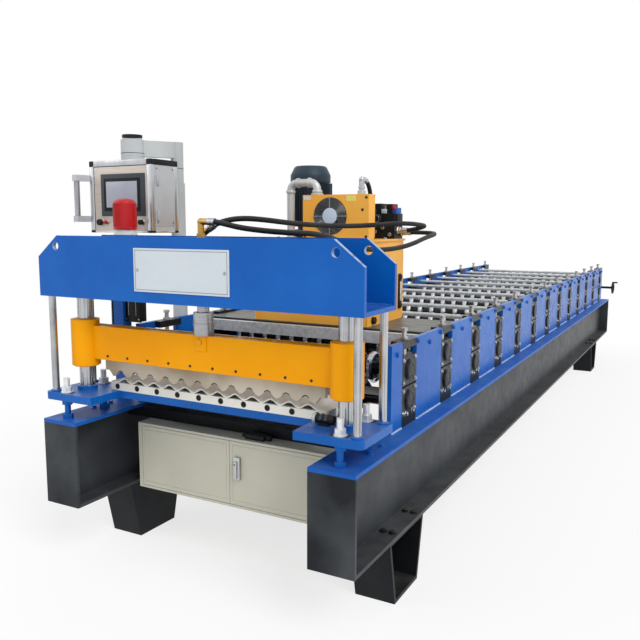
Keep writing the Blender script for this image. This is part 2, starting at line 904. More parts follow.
class Growth:
    """Geometry trees for what repeats, each built once."""

    trees: dict[str, Tree] = {}

    @classmethod
    def get(cls, name: str) -> Tree:
        """Returns a tree by its name, and builds it the first time."""
        if name not in cls.trees:
            cls.trees[name] = getattr(cls, name)(name)
        return cls.trees[name]

    @staticmethod
    def start(name: str, inputs: dict) -> tuple:
        """Starts a tree that takes a mesh, a material and the named sizes."""
        return new_tree(
            name, "GeometryNodeTree", {"Geometry": "Geometry", **inputs, "Material": "Material"},
            {"Geometry": "Geometry"}
        )

    @staticmethod
    def close(tree: Tree, entry: Node, leave: Node, result: Any) -> None:
        """Makes the copies real and gives them their material.

        Args:
            tree: The tree that ends here.
            entry: Its input node.
            leave: Its output node.
            result: The copies.
        """
        real = add(tree, "GeometryNodeRealizeInstances", {0: result})
        done = add(
            tree, "GeometryNodeSetMaterial",
            {"Geometry": real.outputs[0], "Material": entry.outputs["Material"]}
        )
        tree.links.new(done.outputs[0], leave.inputs[0])

    @staticmethod
    def facing(tree: Tree, axis: str = "Z") -> Socket:
        """Turns copies so that one axis follows the points' own direction.

        Args:
            tree: The tree that gets the nodes.
            axis: The copies' axis that follows the direction.

        Returns:
            The rotation's socket.
        """
        named = add(tree, "GeometryNodeInputNamedAttribute", {"Name": "facing"}, data_type="FLOAT_VECTOR")
        turned = add(
            tree, "FunctionNodeAlignRotationToVector", {"Vector": named.outputs["Attribute"]}, axis=axis,
        )
        return turned.outputs[0]

    @staticmethod
    def copied(tree: Tree, points: Any, shape: Node, **inputs: Any) -> Socket:
        """Puts a copy of a shape on each point, and returns the copies."""
        given = {"Points": points, "Instance": shape.outputs[0], **inputs}
        return add(tree, "GeometryNodeInstanceOnPoints", given).outputs[0]

    @staticmethod
    def spaced(tree: Tree, entry: Node) -> Socket:
        """Puts points along each edge of the given mesh, one step apart.

        Args:
            tree: The tree that gets the nodes.
            entry: Its input node.

        Returns:
            The points' socket.
        """
        line = add(tree, "GeometryNodeMeshToCurve", {0: entry.outputs["Geometry"]})
        given = {"Curve": line.outputs[0], "Length": entry.outputs["Step"]}
        return add(tree, "GeometryNodeResampleCurve", given, mode="LENGTH").outputs[0]

    @classmethod
    def fasteners(cls, name: str) -> Tree:
        """Grows screw heads with a washer, each turned by its own amount.

        Args:
            name: The tree's name.

        Returns:
            The tree.
        """
        tree, entry, leave = cls.start(
            name, {"Radius": "Float", "Height": "Float", "Washer": "Float", "Corners": "Int", "Seed": "Int"}
        )
        sizes = entry.outputs
        head = add(
            tree,
            "GeometryNodeMeshCylinder",
            {"Vertices": sizes["Corners"], "Radius": sizes["Radius"], "Depth": sizes["Height"]},
        )
        rim = maths(tree, "MULTIPLY", sizes["Radius"], 0.16)
        crown = add(
            tree,
            "GeometryNodeMeshCone",
            {
                "Vertices": sizes["Corners"],
                "Radius Bottom": sizes["Radius"],
                "Radius Top": maths(tree, "MULTIPLY", sizes["Radius"], 0.82),
                "Depth": rim,
            },
        )
        washer = add(
            tree, "GeometryNodeMeshCylinder", {"Vertices": 20, "Radius": sizes["Washer"], "Depth": 0.002}
        )
        moved = []
        for part, up in (
            (head, maths(tree, "MULTIPLY", sizes["Height"], 0.5)),
            (crown, sizes["Height"]),
            (washer, 0.0005),
        ):
            shift = add(tree, "ShaderNodeCombineXYZ", {"Z": up})
            moved.append(
                add(
                    tree, "GeometryNodeTransform",
                    {"Geometry": part.outputs[0], "Translation": shift.outputs[0]},
                )
            )
        join = add(tree, "GeometryNodeJoinGeometry")
        for part in moved:
            tree.links.new(part.outputs[0], join.inputs[0])
        copies = cls.copied(tree, sizes["Geometry"], join, Rotation=cls.facing(tree))
        angle = add(tree, "FunctionNodeRandomValue", {2: 0.0, 3: math.tau, "Seed": sizes["Seed"]})
        spin = add(tree, "ShaderNodeCombineXYZ", {"Z": angle.outputs["Value"]})
        turned = add(tree, "GeometryNodeRotateInstances", {"Instances": copies, "Rotation": spin.outputs[0]})
        cls.close(tree, entry, leave, turned.outputs[0])
        return tree

    @classmethod
    def weld_beads(cls, name: str) -> Tree:
        """Grows overlapping drops along each edge of the given mesh.

        Args:
            name: The tree's name.

        Returns:
            The tree.
        """
        tree, entry, leave = cls.start(name, {"Radius": "Float", "Step": "Float", "Seed": "Int"})
        drop = add(
            tree, "GeometryNodeMeshIcoSphere", {"Radius": entry.outputs["Radius"], "Subdivisions": 2}
        )
        size = add(tree, "FunctionNodeRandomValue", {2: 0.75, 3: 1.1, "Seed": entry.outputs["Seed"]})
        copies = cls.copied(tree, cls.spaced(tree, entry), drop, Scale=size.outputs[1])
        cls.close(tree, entry, leave, copies)
        return tree

    @classmethod
    def wire_rings(cls, name: str) -> Tree:
        """Grows rings of wire round each point, one inside another.

        Args:
            name: The tree's name.

        Returns:
            The tree.
        """
        tree, entry, leave = cls.start(
            name, {"Count": "Int", "Inner": "Float", "Step": "Float", "Wire": "Float"}
        )
        sizes = entry.outputs
        spots = add(tree, "GeometryNodeMeshLine", {"Count": sizes["Count"], "Offset": (0.0, 0.0, 0.0)})
        order = add(tree, "GeometryNodeInputIndex")
        radius = maths(tree, "ADD", maths(tree, "MULTIPLY", order.outputs[0], sizes["Step"]), sizes["Inner"])
        circle = add(tree, "GeometryNodeCurvePrimitiveCircle", {"Resolution": 48, "Radius": 1.0})
        copies = cls.copied(tree, spots.outputs[0], circle, Scale=radius)
        real = add(tree, "GeometryNodeRealizeInstances", {0: copies})
        section = add(tree, "GeometryNodeCurvePrimitiveCircle", {"Resolution": 8, "Radius": sizes["Wire"]})
        wires = add(
            tree, "GeometryNodeCurveToMesh", {"Curve": real.outputs[0], "Profile Curve": section.outputs[0]}
        )
        cls.close(tree, entry, leave, cls.copied(tree, sizes["Geometry"], wires, Rotation=cls.facing(tree)))
        return tree

    @classmethod
    def slats(cls, name: str) -> Tree:
        """Grows a flat bar on each point, turned the point's way.

        Args:
            name: The tree's name.

        Returns:
            The tree.
        """
        tree, entry, leave = cls.start(name, {"Size": "Vector"})
        bar = add(tree, "GeometryNodeMeshCube", {"Size": entry.outputs["Size"]})
        copies = cls.copied(tree, entry.outputs["Geometry"], bar, Rotation=cls.facing(tree, "X"))
        cls.close(tree, entry, leave, copies)
        return tree

    @classmethod
    def ridges(cls, name: str) -> Tree:
        """Grows round ridges along each edge of the given mesh, as on a ribbed conduit.

        Args:
            name: The tree's name.

        Returns:
            The tree.
        """
        tree, entry, leave = cls.start(name, {"Radius": "Float", "Step": "Float"})
        tangent = add(tree, "GeometryNodeInputTangent")
        turned = add(tree, "FunctionNodeAlignRotationToVector", {"Vector": tangent.outputs[0]}, axis="Z")
        ridge = add(
            tree,
            "GeometryNodeMeshCylinder",
            {
                "Vertices": 16,
                "Radius": entry.outputs["Radius"],
                "Depth": maths(tree, "MULTIPLY", entry.outputs["Step"], 0.5),
            },
        )
        copies = cls.copied(tree, cls.spaced(tree, entry), ridge, Rotation=turned.outputs[0])
        cls.close(tree, entry, leave, copies)
        return tree


def grown(
    tree_name: str,
    name: str,
    points: Sequence[Point],
    finish: Finish,
    body: Body = Body.FRAME,
    facing: Sequence[Point] | Point = (0, 0, 1),
    edges: Sequence[tuple[int, int]] = (),
    **sizes: Any,
) -> Object:
    """Grows copies on points or edges with one of the geometry trees.

    Args:
        tree_name: Which tree of Growth does it.
        name: The piece's name.
        points: Where the copies go, in millimetres of the drawing.
        finish: What their surface is made of.
        body: What they move with.
        facing: One direction for all, or one for each point.
        edges: Pairs of points that a line runs between.
        **sizes: The tree's inputs by name, lengths in metres.

    Returns:
        The piece as a plain mesh.
    """
    tree = Growth.get(tree_name)
    mesh = bpy.data.meshes.new(name)
    mesh.from_pydata([place(p) for p in points], list(edges), [])
    way = mesh.attributes.new("facing", "FLOAT_VECTOR", "POINT")
    ways = [facing] * len(points) if isinstance(facing[0], (int, float)) else facing
    way.data.foreach_set("vector", [float(c) for w in ways for c in w])
    obj = bpy.data.objects.new(name, mesh)
    bpy.context.scene.collection.objects.link(obj)
    modifier = obj.modifiers.new("growth", "NODES")
    modifier.node_group = tree
    values = {**{k.capitalize(): v for k, v in sizes.items()}, "Material": finish.material()}
    for item in tree.interface.items_tree:
        if item.item_type == "SOCKET" and item.in_out == "INPUT" and item.name in values:
            modifier[item.identifier] = values[item.name]
    bpy.context.view_layer.update()
    depsgraph = bpy.context.evaluated_depsgraph_get()
    plain = bpy.data.meshes.new_from_object(obj.evaluated_get(depsgraph))
    obj.modifiers.clear()
    obj.data = plain
    plain.name = name
    return settled(obj, body)


def screwed(
    name: str,
    spots: Sequence[Point],
    finish: Finish,
    sizes: Point,
    seed: int,
    facing: Sequence[Point] | Point = (0, 0, 1),
    corners: int = 6,
    body: Body = Body.FRAME,
) -> Object:
    """Grows screw heads with washers.

    Args:
        name: The piece's name.
        spots: Where the screws sit, in millimetres of the drawing.
        finish: What their surface is made of.
        sizes: The head's radius, its height and the washer's radius, in millimetres.
        seed: What their turns are drawn from.
        facing: One direction for all, or one for each screw.
        corners: How many corners a head has.
        body: What they move with.

    Returns:
        The piece.
    """
    radius, height, washer = (size * MM for size in sizes)
    return grown(
        "fasteners", name, spots, finish, body, facing,
        radius=radius, height=height, washer=washer, corners=corners, seed=seed,
    )


def around(x: float, y: float, radius: float, angle: float, z: float) -> tuple[float, float, float]:
    """Returns a point of a level circle."""
    return x + radius * math.cos(angle), y + radius * math.sin(angle), z


def dress(finish: Finish, *nodes: str) -> None:
    """Gives solids of the frame their finish."""
    for name in nodes:
        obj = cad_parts[name]
        if not obj.material_slots:
            obj.data.materials.append(None)
        for slot in obj.material_slots:
            slot.material = finish.material()


@dataclass
class MainFrame:
    """Two long beams on four feet."""

    beam_top: float = 605.0
    flange_top: float = 269.0
    bolt_x: Point = (641.0, 676.0)
    foot_y: Point = (472.0, 5329.0)
    bolt_reach: float = 107.0
    flange_bolt: float = 648.0
    flange_bolt_y: Point = (222.0, 318.0)

    def build(self) -> None:
        """Dresses the beams and adds their bolts."""
        dress(Finishes.BEAM, "main_beams")
        dress(Finishes.BLACK, "cross_members", "feet")
        spots = [
            (side * x, y + step, self.flange_top)
            for side in SIDES
            for x in self.bolt_x
            for y in self.foot_y
            for step in (-self.bolt_reach, self.bolt_reach)
        ]
        screwed("foot_bolts", spots, Finishes.BLACK, (12, 9, 16), seed=3)
        spots = [(side * self.flange_bolt, y, self.beam_top) for side in SIDES for y in self.flange_bolt_y]
        screwed("flange_bolts", spots, Finishes.BLUE, (9.5, 9, 14), seed=5)


@dataclass
class RollLine:
    """Walls, bearing blocks and rolls of the thirteen stands."""

    stands: int = 13
    first: float = 642.0
    pitch: float = 450.0
    gap: float = 150.0
    end: float = 105.0
    wall: float = 623.0
    axes: Point = (703.0, 824.0)
    foot: float = 605.0
    cover_screw: Point = (61.0, 44.0)
    nut: Point = (34.0, 654.0)
    bolt_z: Point = (902.0, 926.0)
    long_plate: float = 200.0

    def stand(self, k: int) -> float:
        """Returns the place of one stand along the machine."""
        return self.first + k * self.pitch

    def plates(self) -> list[tuple[float, float]]:
        """Places the wall plates between the stands.

        Returns:
            Where each plate starts and ends along the machine.
        """
        half = self.gap / 2
        places = [self.stand(k) for k in range(self.stands)]
        starts = [self.first - half - self.end, *(y + half for y in places)]
        ends = [*(y - half for y in places), places[-1] + half + self.end]
        return list(zip(starts, ends))

    def build(self) -> None:
        """Dresses the stands and adds their screws, covers and welds."""
        dress(Finishes.BLUE, "wall_plates")
        dress(Finishes.OXIDE, "bearing_blocks", "cap_bars")
        dress(Finishes.BLACK, "base_blocks")
        dress(Finishes.ZINC, "adjusting_screws")
        dress(Finishes.SHEET, "guide_tables")
        dress(Finishes.GALV, "tie_bars")
        dress(Finishes.LOW_ROLL, "lower_rolls")
        dress(Finishes.ROLL, *[f"upper_roll_{k + 1:02d}" for k in range(self.stands)])
        self.covers()
        self.screws()
        self.welds()

    def covers(self) -> None:
        """Adds the domed caps on the bearing covers."""
        shape = Shape()
        for k in range(self.stands):
            for axis in self.axes:
                shape.lathe(
                    Axis.X,
                    (self.wall + 4, self.stand(k), axis),
                    [(0, 0), (37, 0), (37, 3), (34, 5), (29, 5), (28, 3.5), (14, 5.5), (0, 6)],
                    24,
                )
        shape.both_sides().piece("bearing_caps", Finishes.OXIDE)

    def screws(self) -> None:
        """Adds the screws of the blocks and of the wall plates."""
        zinc, nuts, blue = [], [], []
        for side in SIDES:
            x = side * self.wall
            for k in range(self.stands):
                y = self.stand(k)
                zinc += [
                    (x, y + a * self.cover_screw[0], z + b * self.cover_screw[1])
                    for z in self.axes for a in SIDES for b in SIDES
                ]
                nuts += [(x, y + a * self.nut[0], self.nut[1]) for a in SIDES]
            for low, high in self.plates():
                blue.append((x, (low + high) / 2, self.bolt_z[0]))
                if high - low > self.long_plate:
                    blue += [(x, y, self.bolt_z[1]) for y in (low + 14, high - 14)]
        for name, spots, finish, radius, height in (
            ("cover_screws", zinc, Finishes.ZINC, 6.5, 5.0),
            ("block_nuts", nuts, Finishes.ZINC, 8.5, 9.0),
            ("plate_bolts", blue, Finishes.BLUE, 9.0, 7.0),
        ):
            outward = [(math.copysign(1, spot[0]), 0, 0) for spot in spots]
            screwed(name, spots, finish, (radius, height, radius * 1.35), seed=len(spots), facing=outward)

    def welds(self) -> None:
        """Adds the weld along the outer foot of each wall plate."""
        points, edges = [], []
        for side in SIDES:
            for low, high in self.plates():
                for a, b in ((low + 6, low + 0.46 * (high - low)), (high - 0.48 * (high - low), high - 6)):
                    edges.append((len(points), len(points) + 1))
                    points += [
                        (side * (self.wall + 1), a, self.foot + 1),
                        (side * (self.wall + 1), b, self.foot + 1),
                    ]
        grown(
            "weld_beads", "wall_welds", points, Finishes.WELD, edges=edges, radius=0.0055, step=0.007,
            seed=11,
        )


@dataclass
class Shear:
    """Exit shear: base plates, columns, head, cylinder and blade."""

    plate_top: float = 711.0
    head_high: float = 1341.0
    head_front: float = 22.0
    blade_front: float = 131.0
    guide_x: float = 598.0
    guide_y: float = 142.0
    sleeve_top: float = 1003.0
    name_half: float = 212.0
    name_low: float = 1142.0
    name_high: float = 1300.0
    cylinder_y: float = 150.0
    column: float = 680.0
    column_y: Point = (52.0, 252.0)
    stud: float = 619.0
    sensor: Point = (130.0, 733.0)
    wave: float = 78.0
    die_hole: Point = (466.2, 178.0, 728.0)

    def build(self) -> None:
        """Dresses the shear and adds its details."""
        dress(Finishes.BLUE, "shear_head")
        dress(Finishes.DEEP, "shear_base")
        dress(Finishes.STUD, "levelling_studs")
        dress(Finishes.CHROME, "tie_columns", "guide_columns")
        dress(Finishes.STEEL, "piston_rod")
        dress(Finishes.PLATE, "name_plate")
        dress(Finishes.MOTOR, "hydraulic_cylinder")
        dress(Finishes.YELLOW, "blade_beam")
        dress(Finishes.EDGE, "upper_blade")
        dress(Finishes.TOOL, "exit_die")
        dress(Finishes.PLASTIC, "exit_sensor")
        self.head()
        self.blade()
        self.base()

    def head(self) -> None:
        """Adds edges, name plate screws and the cylinder's parts."""
        corner, slope_low, slope_top = 713.0, 1257.0, 607.0
        shape = Shape()
        for y in (22.2, 262.2):
            shape.prism(
                Axis.Y,
                [
                    (slope_low, corner), (self.head_high, slope_top), (self.head_high + 0.6, slope_top + 0.6),
                    (slope_low + 0.6, corner + 0.6),
                ],
                y,
                15.6,
            )
            shape.lathe(
                Axis.Y, (615, y, 1300), [(16, 0), (16.4, -0.4), (16.4, 16), (15.6, 16), (15.6, 0)], 24,
                closed=True
            )
        shape.both_sides().piece("cut_edges", Finishes.WELD)
        low, high, half = self.name_low, self.name_high, self.name_half
        front = self.head_front - 3.6
        shape = Shape()
        inset, line = 7.0, 1.6
        a, b, c = half - inset, low + inset, high - inset
        for x0, x1, z0, z1 in (
            (-a, a, b, b + line), (-a, a, c - line, c), (-a, -a + line, b, c), (a - line, a, b, c)
        ):
            shape.box((x0, front, z0), (x1, front + 0.8, z1))
        shape.piece("plate_border", Finishes.LINE)
        middle = (low + high) / 2
        spots = [(side * (half - 18), self.head_front - 3, middle) for side in SIDES]
        screwed("plate_rivets", spots, Finishes.STEEL, (4, 2, 5.5), seed=2, facing=(0, -1, 0), corners=12)
        shape = Shape()
        shape.lathe(
            Axis.Z, (0, self.cylinder_y, 1328), [(50, 0), (66, 0), (67, 2), (67, 8), (60, 9), (50, 9)], 40,
            closed=True,
        )
        shape.band(Axis.Z, (0, self.cylinder_y, 1142), (60, 67), (0, 12), 40)
        shape.piece("cylinder_bands", Finishes.MOTOR)
        spots = [(a * 58, self.cylinder_y + b * 58, 1138) for a in SIDES for b in SIDES]
        screwed("cylinder_bolts", spots, Finishes.ZINC, (13, 12, 17), seed=4)
        points, edges = [], []
        for y in (38.5, 261.5):
            for x0, x1 in ((-700, -90), (90, 700)):
                edges.append((len(points), len(points) + 1))
                points += [(x0, y, 1118.5), (x1, y, 1118.5)]
        grown(
            "weld_beads", "head_welds", points, Finishes.BLUE, edges=edges, radius=0.005, step=0.007,
            seed=12,
        )

    def blade(self) -> None:
        """Adds what moves with the blade beam."""
        front = self.blade_front
        shape = Shape()
        shape.box((-27, front - 5, 921), (27, front + 6, 979), 2.0)
        shape.rod(Axis.Y, (-4, front - 11, 954), 12.5, 8, 2.0)
        shape.piece("pin_cover", Finishes.YELLOW, Body.BLADE)
        shape = Shape()
        for i in range(12):
            middle = (i - 5.5) * self.wave
            for step in range(8):
                a, b = (middle - 14 + 3.5 * (step + k) for k in (0, 1))
                low, high = (773 + 12 * (1 - math.cos(math.tau * x / self.wave)) for x in (a, b))
                shape.prism(Axis.Y, [(low, a), (high, b), (high + 3, b), (low + 3, a)], 157.4, 1.2)
        shape.piece("blade_edge_shadows", Finishes.BLACK, Body.BLADE)
        spots = [((i - 4.5) * 104.0, front, 860) for i in range(10)]
        screwed(
            "blade_screws", spots, Finishes.OXIDE, (4.8, 1.2, 5.2), seed=6, facing=(0, -1, 0), corners=12,
            body=Body.BLADE,
        )
        shape = Shape()
        for x in (-self.guide_x, self.guide_x):
            shape.lathe(
                Axis.Z, (x, self.guide_y, self.sleeve_top),
                [(30.7, -2), (48, -2), (48, 1.5), (45, 3), (30.7, 3)], 40,
                closed=True,
            )
            shape.band(Axis.Z, (x, self.guide_y, 815), (30.7, 50), (2, -4), 40)
        shape.piece("sleeve_seals", Finishes.YELLOW, Body.BLADE)
        shape = Shape()
        shape.lathe(
            Axis.Z, (0, self.cylinder_y, 1046), [(22.8, 0), (30, 0), (31, 1), (31, 4), (29, 6), (22.8, 6)],
            32, closed=True
        )
        shape.lathe(
            Axis.Z, (0, self.cylinder_y, 985), [(36.5, 0), (38.4, 1), (38.4, 40), (36.5, 41)], 32, closed=True
        )
        shape.piece("rod_collar", Finishes.STEEL, Body.BLADE)

    def base(self) -> None:
        """Adds what stands on the base plates."""
        shape = Shape()
        for x in (-self.guide_x, self.guide_x):
            shape.lathe(
                Axis.Z, (x, self.guide_y, self.plate_top + 14),
                [(30.3, 0), (41, 0), (41, 2), (38, 4), (30.3, 4)], 40,
                closed=True,
            )
        for y in self.column_y:
            for x in (self.column, -self.column):
                shape.lathe(
                    Axis.Z, (x, y, self.plate_top), [(14.7, 0), (22, 0), (22, 3), (19, 6), (14.7, 6)], 28,
                    closed=True,
                )
        shape.piece("column_collars", Finishes.DEEP)
        shape = Shape()
        for side in SIDES:
            for y in self.column_y:
                x = side * self.stud
                shape.box((x - 34, y - 15, self.plate_top - 0.2), (x + 34, y + 15, self.plate_top + 0.5), 0.2)
        shape.piece("stud_slots", Finishes.BLACK)
        shape = Shape()
        shape.lathe(Axis.X, (476.5, *self.sensor), [(0, 0), (14, 0), (16.4, 2), (16.4, 13), (0, 13)], 24)
        shape.piece("sensor_face", Finishes.ENAMEL)
        shape = Shape()
        for x in (505, 525):
            shape.rod(Axis.X, (x, *self.sensor), 19, 9, 1, 6)
        shape.piece("sensor_nuts", Finishes.NUT)
        holes, rims = Shape(), Shape()
        for i in range(10):
            spot = ((i / 4.5 - 1) * self.die_hole[0], *self.die_hole[1:])
            holes.lathe(Axis.Y, spot, [(0, -0.5), (9.6, -0.5), (9.8, 0.4), (0, 0.4)], 22)
            rims.lathe(Axis.Y, spot, [(9.4, -0.9), (11.6, -0.7), (11.8, 0.4), (9.4, 0.4)], 22, closed=True)
        holes.piece("die_hole_shadows", Finishes.BLACK)
        rims.piece("die_hole_rims", Finishes.NUT)


@dataclass
class HydraulicStation:
    """Oil tank with its motor, cooler, valves and pipe."""

    lid_top: float = 1320.0
    lid_x: float = 308.0
    lid_y: Point = (937.0, 1363.0)
    fan: Point = (108.0, 945.0, 1424.0)
    motor: Point = (-113.0, 1160.0)
    cooler_top: float = 1520.0
    knobs: Sequence[Point] = ((196.0, 1446.0, 20.0), (219.0, 1414.0, 23.0))
    valve_y: float = 1240.0
    gauge: Point = (100.0, 1290.0, 1392.0)
    collar: Sequence[Point] = ((17, 0), (22, 0), (23, 2), (23, 10), (22, 12), (17, 12))
    core: Point = (-33.0, 300.0, 1320.0, 1520.0)

    def build(self) -> None:
        """Dresses the station and adds its details."""
        dress(Finishes.ORANGE, "oil_tank", "oil_cooler")
        dress(Finishes.TRAY, "tank_rails")
        dress(Finishes.PLASTIC, "valve_block", "cooler_fan")
        dress(Finishes.MOTOR, "pump_motor")
        dress(Finishes.FITTING, "hose_fittings")
        self.cooler()
        self.pump()
        self.pipe()
        self.valves()
        self.meter()
        self.tank()

    def cooler(self) -> None:
        """Adds the fan guard, labels and fins of the cooler."""
        x, y, z = self.fan
        grown(
            "wire_rings", "fan_guard", [(x, y - 4, z)], Finishes.STEEL, facing=(0, -1, 0),
            count=8, inner=0.036, step=0.0062, wire=0.0007,
        )
        shape = Shape()
        for turn in range(4):
            angle = math.tau * turn / 4
            u, v = math.cos(angle), math.sin(angle)
            wire = [(x + r * u, y - drop, z + r * v) for r, drop in ((30, 5.5), (86, 5.5), (86, 0))]
            shape.tube(wire, 1.4, 8)
        shape.piece("guard_wires", Finishes.ZINC)
        shape = Shape()
        shape.lathe(Axis.Y, (x, y - 3, z), [(0, -6), (22, -5.5), (35, -4), (37, -1), (35, 1), (0, 1)], 36)
        shape.piece("guard_hub", Finishes.HUB)
        shape = Shape()
        shape.lathe(Axis.Y, (x, y, z), [(80.6, 0.5), (84, 0.5), (84, -1.2), (80.6, -1.6)], 48, closed=True)
        shape.lathe(
            Axis.Y, (x, y, z), [(9, 33.8), (81.7, 33.8), (81.7, 0.4), (80.4, 0.4), (80.4, 32.8), (9, 32.8)],
            48, closed=True
        )
        shape.piece("fan_well", Finishes.BLACK)
        Shape().box((-29, y - 0.7, 1498), (8, y + 0.5, 1514)).piece("cooler_tag", Finishes.PLATE)
        Shape().box((190, y - 0.7, 1490), (238, y + 0.5, 1514)).piece("cooler_label", Finishes.LABEL)
        spots = [(270, y, 1452), (-22, y, 1334), (288, y, 1334), (288, y, 1506)]
        screwed("cooler_screws", spots, Finishes.OXIDE, (4, 2, 6), seed=8, facing=(0, -1, 0), corners=12)
        fins = [(-26 + 4.6 * i, y + 64, z - 4) for i in range(70)]
        grown("slats", "cooler_fins", fins, Finishes.OXIDE, facing=(1, 0, 0), size=(0.0014, 0.006, 0.168))
        shape = Shape()
        left, right, low, high = self.core
        for x0, x1, z0, z1 in (
            (left, right, low, low + 10), (left, right, high - 10, high), (left, left + 6, low, high),
            (right - 6, right, low, high),
        ):
            shape.box((x0, y + 61, z0), (x1, y + 68, z1), 1)
        shape.piece("cooler_back_frame", Finishes.ORANGE)

    def pump(self) -> None:
        """Adds the fins, terminal box and cowl of the motor."""
        x, y = self.motor
        count = 44
        angles = [math.tau * (i + 0.5) / count for i in range(count)]
        spots = [around(x, y, 93, a, 1484) for a in angles]
        grown(
            "slats", "motor_fins", spots, Finishes.MOTOR,
            facing=[(math.cos(a), math.sin(a), 0) for a in angles],
            size=(0.010, 0.0028, 0.2),
        )
        shape = Shape()
        shape.lathe(
            Axis.Z, (x, y, 1588),
            [(80, 0), (97, 0), (98, 3), (98, 34), (96, 40), (80, 72), (76, 76), (70, 77.5), (70, 60)], 44,
            closed=True,
        )
        shape.lathe(Axis.Z, (x, y, 1376), [(80, 0), (97, 0), (98, 3), (98, 12), (80, 14)], 44, closed=True)
        shape.lathe(Axis.Z, (x, y, 1664), [(0, -2), (72, -2), (74, 0), (73, 2.5), (66, 3.5), (0, 4)], 44)
        shape.piece("motor_shields", Finishes.MOTOR)
        shape = Shape()
        shape.box((x - 52, y + 78, 1496), (x + 52, y + 122, 1588), 5)
        shape.box((x - 54, y + 121, 1493), (x + 54, y + 129, 1591), 3)
        for side in SIDES:
            shape.rod(Axis.Z, (x + side * 26, y + 105, 1476), 12, 22, 1.5)
        shape.piece("motor_terminal_box", Finishes.MOTOR)
        spots = [(x + a, y + 129, 1542 + b) for a in (-46, 46) for b in (-41, 41)]
        screwed("terminal_screws", spots, Finishes.ZINC, (4, 3, 5.5), seed=9, facing=(0, 1, 0), corners=12)
        spots = [around(x, y, 72, math.tau * (i + 0.5) / 6, 1332) for i in range(6)]
        screwed("pump_bolts", spots, Finishes.ZINC, (7, 7, 9), seed=10)

    def pipe(self) -> None:
        """Builds the return pipe with its elbows and collars."""
        left, right, y, top, bend = -115.0, 25.0, 976.0, 1577.0, 34.0
        shape = Shape()
        turns = [math.pi / 2 * i / 8 for i in range(9)]
        path = [(left, y, self.lid_top), (left, y, top - bend)]
        path += [(left + bend - bend * math.cos(a), y, top - bend + bend * math.sin(a)) for a in turns[1:]]
        path += [(right - bend + bend * math.sin(a), y, top - bend + bend * math.cos(a)) for a in turns]
        path.append((right, y, self.cooler_top))
        shape.tube(path, 18, 24)
        for x, low in ((left, self.lid_top), (right, self.cooler_top)):
            shape.lathe(Axis.Z, (x, y, top - bend - 12), self.collar, closed=True)
            shape.lathe(
                Axis.Z, (x, y, low), [(17, 0), (27, 0), (28, 2), (28, 7), (22, 10), (17, 10)], 28,
                closed=True,
            )
        for x in (left + bend, right - bend - 12):
            shape.lathe(Axis.X, (x, y, top), self.collar, closed=True)
        pipe = shape.piece("bent_return_pipe", Finishes.CAST, sharp=40)
        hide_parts("return_pipe")

    def valves(self) -> None:
        """Adds knobs, coils and caps on the valve block."""
        shape = Shape()
        for x, z, radius in self.knobs:
            outline = [(0, -34), (radius - 4, -34), (radius, -30), (radius, -18), (radius - 7, -14)]
            shape.lathe(Axis.Y, (x, self.valve_y, z), [*outline, (9, -12), (9, 16), (0, 16)])
        shape.box((187, 1256, 1438), (223, 1324, 1488), 4)
        shape.box((262, 1256, 1400), (308, 1324, 1438), 3)
        shape.box((174, 1246, 1398), (296, 1336, 1410), 2)
        shape.piece("valve_knobs", Finishes.PLASTIC)
        Shape().box((264, 1258, 1437), (302, 1322, 1468), 4).piece("valve_coils", Finishes.SOLENOID)
        Shape().rod(Axis.Z, (286, 1262, 1460), 10, 16, 2).piece("valve_caps", Finishes.RED)
        shape = Shape()
        shape.box((226, 1250, 1438), (254, 1318, 1462), 3)
        shape.rod(Axis.Z, (240, 1284, 1460), 9, 14, 1.5, 6)
        shape.piece("valve_sockets", Finishes.ENAMEL)
        shape = Shape()
        for x, z, radius in self.knobs:
            shape.band(Axis.Y, (x, self.valve_y, z), (radius - 9, radius - 6), (-34.8, -33))
        for axis, spot, radius, length in (
            (Axis.Z, (251, 975, 1544), 17, 12), (Axis.Y, (200, 1228, 1352), 12, 14),
            (Axis.Y, (242, 1226, 1372), 10, 16), (Axis.Y, (278, 1228, 1340), 10, 14),
        ):
            shape.rod(axis, spot, radius, length, 1.5, 6)
        for y, z in ((1268, 1360), (1318, 1350)):
            shape.rod(Axis.X, (299, y, z), 19, 12, 2, 6)
            shape.rod(Axis.X, (312, y, z), 16, 12, 1.5, 6)
        shape.piece("valve_plugs", Finishes.ZINC)

    def meter(self) -> None:
        """Adds the pressure gauge with its dial and marks."""
        x, y, z = self.gauge
        shape = Shape()
        shape.lathe(Axis.Z, (x, y, self.lid_top), [(0, 0), (8, 0), (8, 46), (0, 46)], 16)
        shape.lathe(Axis.Y, (x, y, z), [(0, -12), (28, -12), (31, -9), (31, 10), (28, 12), (0, 12)], 32)
        shape.piece("pressure_gauge", Finishes.STEEL)
        shape = Shape()
        shape.lathe(Axis.Y, (x, y - 12.4, z), [(0, -0.6), (26, -0.6), (26, 0.6), (0, 0.6)], 32)
        shape.piece("gauge_dial", Finishes.GAUGE)
        shape = Shape()
        shape.tube([(x, y - 13.6, z), (x - 14, y - 13.6, z + 14)], 1.2, 6)
        for i in range(9):
            angle = math.radians(-135 + 33.75 * i)
            u, v = math.sin(angle), math.cos(angle)
            shape.tube([(x + r * u, y - 13.4, z + r * v) for r in (20, 24)], 0.8, 6)
        shape.piece("gauge_marks", Finishes.PLASTIC)

